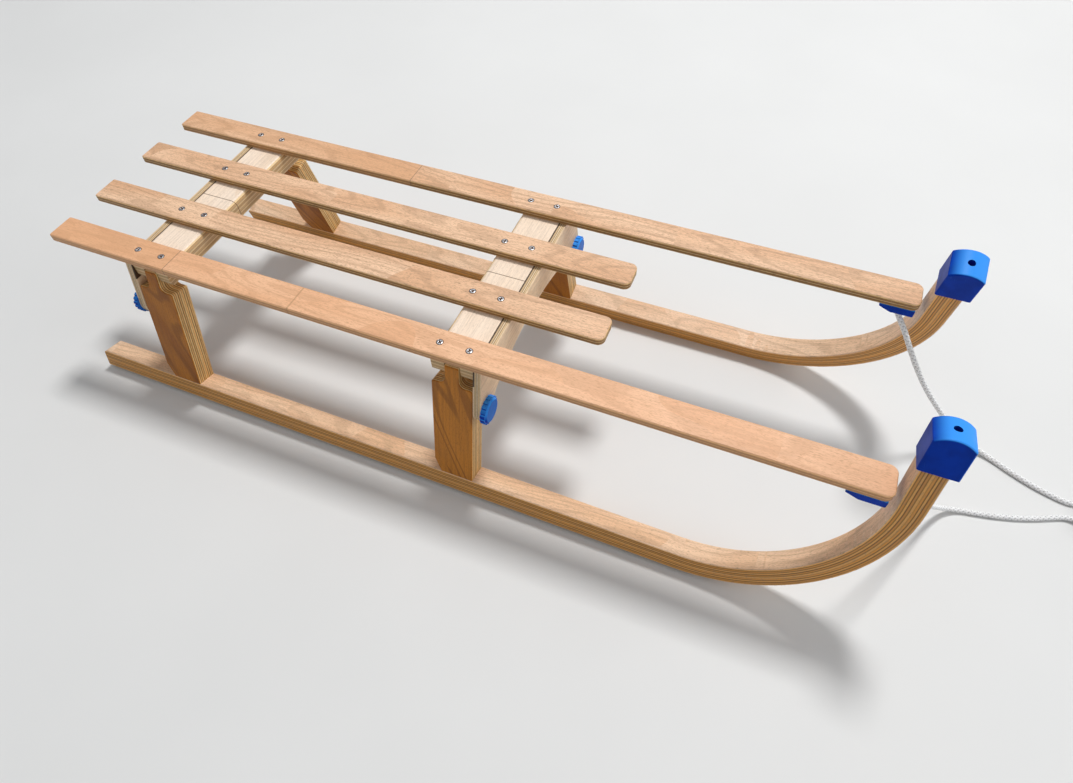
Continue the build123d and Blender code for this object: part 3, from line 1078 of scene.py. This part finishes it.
@dataclass(frozen=True)
class Screws:
    """The countersunk cross-head screws of the slats, two at each crossing of a slat and a beam.

    Sizes are in millimetres, and heights are over the slat. Heads and countersinks have as many rings as
    each other.
    """

    crossings: tuple[float, ...] = (150.0, 579.2)
    apart: float = 36.6
    slat_rows: tuple[float, ...] = (-131.5, -46.5, 46.5, 131.5)
    head_radius: float = 3.7
    head_rings: tuple[float, ...] = (0.0, 0.4, 0.8, 1.2, 1.6, 2.0, 2.3, 2.6, 3.1)
    crown: float = 0.55
    dome: float = 0.3
    recess_depth: float = 0.42
    recess_width: float = 1.5
    recess_reach: float = 2.5
    sink_radius: float = 4.4
    sink_inside: float = 0.3
    sink_height: float = 0.06
    sink_lip: float = 0.1
    skirt: float = -0.6
    columns: int = 48
    # Radians by which each cross is turned from the one before
    turned_by: float = 1.1

    def rings(self, reach: np.ndarray) -> tuple[np.ndarray, np.ndarray, np.ndarray]:
        """Round loops of points.

        Args:
            reach: The radius of each loop.

        Returns:
            The radius, x and y of every point, each as (loops, columns).
        """
        turn = np.linspace(2 * np.pi, 0, self.columns, endpoint=False)
        radius, angle = np.meshgrid(reach, turn, indexing="ij")
        return radius, radius * np.cos(angle), radius * np.sin(angle)

    def crossed(self, x: np.ndarray, y: np.ndarray) -> np.ndarray:
        """Whether places on a head are in the cross of its recess."""
        in_arm = np.minimum(np.abs(x), np.abs(y)) < self.recess_width / 2
        return in_arm & (np.hypot(x, y) < self.recess_reach)

    def head(self) -> np.ndarray:
        """One head, rings round its centre and a skirt that goes into the wood and is closed underneath.

        The height is crown - dome (r / R)^2, less the recess's depth in the cross.

        Returns:
            Points as (rows, columns, 3).
        """
        reach = np.r_[self.head_rings, self.head_radius, self.head_radius, 0.0]
        radius, x, y = self.rings(reach)
        z = self.crown - self.dome * (radius / self.head_radius) ** 2 - self.recess_depth * self.crossed(x, y)
        z[-2:] = self.skirt
        return np.stack([x, y, z], axis=-1)

    def recess_faces(self, head: np.ndarray) -> np.ndarray:
        """Which faces of a head are in the cross; they take painted shade.

        Args:
            head: The head's points.

        Returns:
            Truth values as (rows - 1, columns).
        """
        middle = (head[:-1] + head[1:]) / 2
        middle = (middle + np.roll(middle, -1, axis=1)) / 2
        in_cross = self.crossed(middle[..., 0], middle[..., 1])
        in_cross[-2:] = False
        return in_cross

    def sink(self) -> np.ndarray:
        """The rim of a countersink round a head, a closed ring that is a dark sheet of painted shade.

        It goes outward over the wood, down into it, back inward, and up to where it began.

        Returns:
            Points as (rows, columns, 3).
        """
        inner, outer = self.head_radius - self.sink_inside, self.sink_radius
        reach = np.r_[np.linspace(inner, outer, len(self.head_rings)), outer, inner, inner]
        radius, x, y = self.rings(reach)
        z = np.where(radius < outer, self.sink_height, self.sink_height - self.sink_lip)
        z[-3:-1] = self.skirt
        return np.stack([x, y, z], axis=-1)

    def build(self, steel: bpy.types.Material, shade: bpy.types.Material) -> None:
        """Makes all the heads and countersinks as one piece on the seat.

        Args:
            steel: The screws' material.
            shade: The material of the countersinks and of the crosses.
        """
        head, sink = self.head(), self.sink()
        along = [x + side * self.apart / 2 for x in self.crossings for side in (-1, 1)]
        parts = []
        for count, (x, y) in enumerate((x, y) for x in along for y in self.slat_rows):
            cosine, sine = math.cos(self.turned_by * count), math.sin(self.turned_by * count)
            rotation = np.array([(cosine, -sine, 0), (sine, cosine, 0), (0, 0, 1)])
            place = (x - MIDDLE, y, SEAT_HEIGHT)
            parts += [head @ rotation.T + place, sink + place]
        screws = grid_mesh("slat_screws", np.stack(parts) * MM, True)
        screws.data.materials.append(steel)
        screws.data.materials.append(shade)
        in_cross = self.recess_faces(head).ravel()
        heads = len(parts) // 2
        # The crosses and every countersink ring take the second material, which is painted shade
        slots = np.tile(np.concatenate([in_cross, np.ones(in_cross.size, bool)]), heads)
        screws.data.polygons.foreach_set("material_index", slots.astype(np.int32))
        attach(screws, "seat")
        LOG.info("slat_screws: %d heads", heads)


def paint(material: bpy.types.Material, *names: str) -> None:
    """Gives carried-over nodes a material in every slot.

    Args:
        material: The material.
        names: The nodes' names.
    """
    for name in names:
        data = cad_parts[name].data
        if not data.materials:
            data.materials.append(material)
        for place in range(len(data.materials)):
            data.materials[place] = material
        LOG.info("%s: %s", name, material.name)


def plate(name: str, rear_face: float, contact: float) -> Plywood:
    """The finish of an arched plate.

    Args:
        name: The material's name.
        rear_face: Where the plate's rear face lies along the sled, in millimetres.
        contact: How far ahead of that face the beam lies against the plate.

    Returns:
        The finish.
    """
    return Plywood(
        name=name, lay=Lay.PLATE, thickness=PLATE_THICKNESS * MM, ply=2.1 * MM,
        base=(rear_face - MIDDLE) * MM,
        face=(0.88, 0.66, 0.45), face_dark=(0.80, 0.56, 0.35), long_ply=(0.95, 0.74, 0.48),
        cross_ply=(0.76, 0.53, 0.29), glue=(0.05, 0.022, 0.009), glue_width=0.5 * MM, ring_contrast=0.18,
        contact=contact * MM,
    )


@dataclass(frozen=True)
class Timber:
    """The wooden nodes and the finish of each."""

    slat: Plywood = Plywood(
        name="beech_slat", lay=Lay.SLAT, thickness=SLAT_THICKNESS * MM, ply=2.1 * MM,
        base=SLAT_UNDERSIDE * MM,
        face=(0.88, 0.59, 0.385), face_dark=(0.75, 0.44, 0.255), long_ply=(0.94, 0.64, 0.28),
        cross_ply=(0.38, 0.19, 0.05), glue=(0.08, 0.035, 0.01), glue_width=0.65 * MM, ring_contrast=0.4,
        ring_count=85.0, fleck_contrast=0.8, joints=VeneerJoints(),
    )
    beam: Plywood = Plywood(
        name="birch_beam", lay=Lay.BEAM, thickness=BEAM_THICKNESS * MM, ply=2.8 * MM,
        base=BEAM_UNDERSIDE * MM,
        face=(0.93, 0.77, 0.62), face_dark=(0.90, 0.71, 0.54), long_ply=(0.86, 0.62, 0.33),
        cross_ply=(0.58, 0.35, 0.15), glue=(0.13, 0.06, 0.025), ring_contrast=0.06, seam=0.7 * MM,
    )
    rear_plate: Plywood = plate("birch_plate_rear", 115.5, PLATE_THICKNESS)
    front_plate: Plywood = plate("birch_plate_front", 607.5, 0.0)
    leg: Plywood = Plywood(
        name="veneered_leg", lay=Lay.LEG, thickness=28.0 * MM, ply=3.111 * MM, base=0.35 * MM,
        face=(0.58, 0.21, 0.014), face_dark=(0.34, 0.105, 0.006), long_ply=(0.98, 0.70, 0.32),
        cross_ply=(0.87, 0.52, 0.19), glue=(0.10, 0.035, 0.006), glue_width=1.0 * MM, ring_contrast=0.55,
        ring_count=60.0, skew=0.4, fleck_contrast=0.4,
    )
    runner: Plywood = Plywood(
        name="laminated_runner", lay=Lay.RUNNER, thickness=RUNNER_THICKNESS * MM, ply=2.967 * MM,
        face=(0.89, 0.64, 0.44), face_dark=(0.79, 0.50, 0.30), long_ply=(0.98, 0.52, 0.14),
        cross_ply=(0.78, 0.34, 0.065), glue=(0.11, 0.038, 0.007), glue_width=0.9 * MM, fleck_contrast=0.7,
    )

    def dress(self) -> None:
        """Gives every wooden node its material."""
        paired = (
            (self.slat, ("slat_outer", "slat_inner")),
            (self.beam, ("beam_rear", "beam_front")),
            (self.leg, ("leg_rear", "leg_front")),
            (self.runner, ("runner",)),
        )
        for finish, names in paired:
            paint(finish.make(), *[f"{name}_{side}" for name in names for side in SIDES])
        paint(self.rear_plate.make(), "arch_rear")
        paint(self.front_plate.make(), "arch_front")


@dataclass(frozen=True)
class Fittings:
    """The blue plastic pieces, the steel bolts, and the finishes that the screws take."""

    # The plastic's lighter colour is painted sunlight on what faces up and ahead
    plastic: Moulded = Moulded(
        name="blue_plastic", colour=(0.001, 0.042, 0.42), painted_sunlit=(0.045, 0.30, 0.88),
        scuff=(0.05, 0.2, 0.62),
    )
    steel: Zinc = Zinc(name="zinc_plate", colour=(0.62, 0.62, 0.64))
    # Painted shade: a dark ring where the countersinks are shaded, and dark in the crosses' recesses, with
    # painted sunlight on what faces up
    shade: Moulded = Moulded(
        name="countersink_shade", colour=(0.07, 0.035, 0.02), painted_sunlit=(0.09, 0.045, 0.025),
        scuff=(0.2, 0.1, 0.05), roughness=0.8,
    )

    def dress(self) -> tuple[bpy.types.Material, bpy.types.Material]:
        """Gives the knobs, caps, brackets and bolts their materials.

        Returns:
            The materials of the screws: their steel, and the shade of their countersinks.
        """
        plastic, steel = self.plastic.make(), self.steel.make()
        blue = ("knob_rear", "knob_front", "tip_cap", "rope_bracket")
        paint(plastic, *[f"{name}_{side}" for name in blue for side in SIDES])
        paint(steel, *[f"pivot_bolt_{end}_{side}" for end in ENDS for side in SIDES])
        return steel, self.shade.make()


@dataclass(frozen=True)
class Lamp:
    """A square lamp that points at the ground under the sled, in metres and watts."""

    name: str
    place: tuple[float, float, float]
    side: float
    power: float

    def hang(self) -> None:
        """Puts the lamp into the scene."""
        data = bpy.data.lights.new(self.name, "AREA")
        data.size = self.side
        data.energy = self.power
        holder = bpy.data.objects.new(self.name, data)
        holder.location = self.place
        holder.rotation_mode = "QUATERNION"
        holder.rotation_quaternion = (-Vector(self.place)).to_track_quat("-Z", "Y")
        bpy.context.scene.collection.objects.link(holder)


@dataclass(frozen=True)
class Studio:
    """The floor, the lamps and the camera.

    Lengths are in metres. The focal length and the image's width are in the photograph's pixels, and the
    sensor's width is in millimetres.
    """

    camera_place: tuple[float, float, float] = (0.33484, -0.56790, 0.82692)
    camera_forward: tuple[float, float, float] = (-0.25116, 0.54470, -0.80014)
    camera_right: tuple[float, float, float] = (0.92341, 0.38269, -0.02934)
    focal_pixels: float = 718.357
    image_width: float = 1073.0
    sensor: float = 36.0
    floor_half: float = 8.0
    floor_mottle: float = 3.0
    floor_light: Colour = (0.76, 0.76, 0.75)
    floor_dark: Colour = (0.70, 0.70, 0.69)
    sky: tuple[float, float, float, float] = (0.93, 0.96, 1.0, 1.0)
    sky_strength: float = 0.33
    # A sun-like key from the left and above, a broad box ahead and a weak fill
    lamps: tuple[Lamp, ...] = (
        Lamp("key", (0.35, 1.9, 4.6), 0.8, 168.0),
        Lamp("front_box", (4.2, 0.8, 2.2), 3.2, 66.0),
        Lamp("fill", (-2.6, -2.4, 3.2), 3.0, 12.0),
    )

    def camera(self) -> None:
        """Places the camera where the photograph was taken from."""
        data = bpy.data.cameras.new("camera")
        data.sensor_fit = "HORIZONTAL"
        data.sensor_width = self.sensor
        data.lens = self.focal_pixels / self.image_width * self.sensor
        data.clip_start, data.clip_end = 0.02, 50.0
        holder = bpy.data.objects.new("camera", data)
        bpy.context.scene.collection.objects.link(holder)
        back = -Vector(self.camera_forward).normalized()
        right = Vector(self.camera_right)
        right = (right - back * right.dot(back)).normalized()
        turned = Matrix((right, back.cross(right), back)).transposed().to_4x4()
        holder.matrix_world = Matrix.Translation(self.camera_place) @ turned
        bpy.context.scene.camera = holder

    def floor(self) -> None:
        """Lays a pale floor under the sled, with a faint mottle."""
        half = self.floor_half
        corners = np.array([[[(-half, -half, 0), (half, -half, 0)], [(-half, half, 0), (half, half, 0)]]])
        floor = grid_mesh("floor", corners, False)
        bench = Bench("pale_floor")
        x, y = (bench.total((self.floor_mottle, axis)) for axis in bench.place()[:2])
        mottle = bench.noise(bench.vector(x, y, 0.0))
        floor.data.materials.append(bench.coat(bench.mix(mottle, self.floor_dark, self.floor_light), 0.85))

    def lights(self) -> None:
        """Hangs the lamps and sets an even sky."""
        for lamp in self.lamps:
            lamp.hang()
        world = bpy.data.worlds.new("sky")
        world.use_nodes = True
        background = world.node_tree.nodes["Background"]
        background.inputs["Color"].default_value = self.sky
        background.inputs["Strength"].default_value = self.sky_strength
        bpy.context.scene.world = world
        bpy.context.scene.view_settings.view_transform = "Standard"


def main() -> None:
    """Builds the scene in order."""
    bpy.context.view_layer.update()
    studio = Studio()
    studio.camera()
    Rope().build()
    studio.floor()
    studio.lights()
    Timber().dress()
    steel, shade = Fittings().dress()
    Screws().build(steel, shade)


if __name__ == "__main__":
    logging.basicConfig(level=logging.INFO, format="%(message)s")
    main()
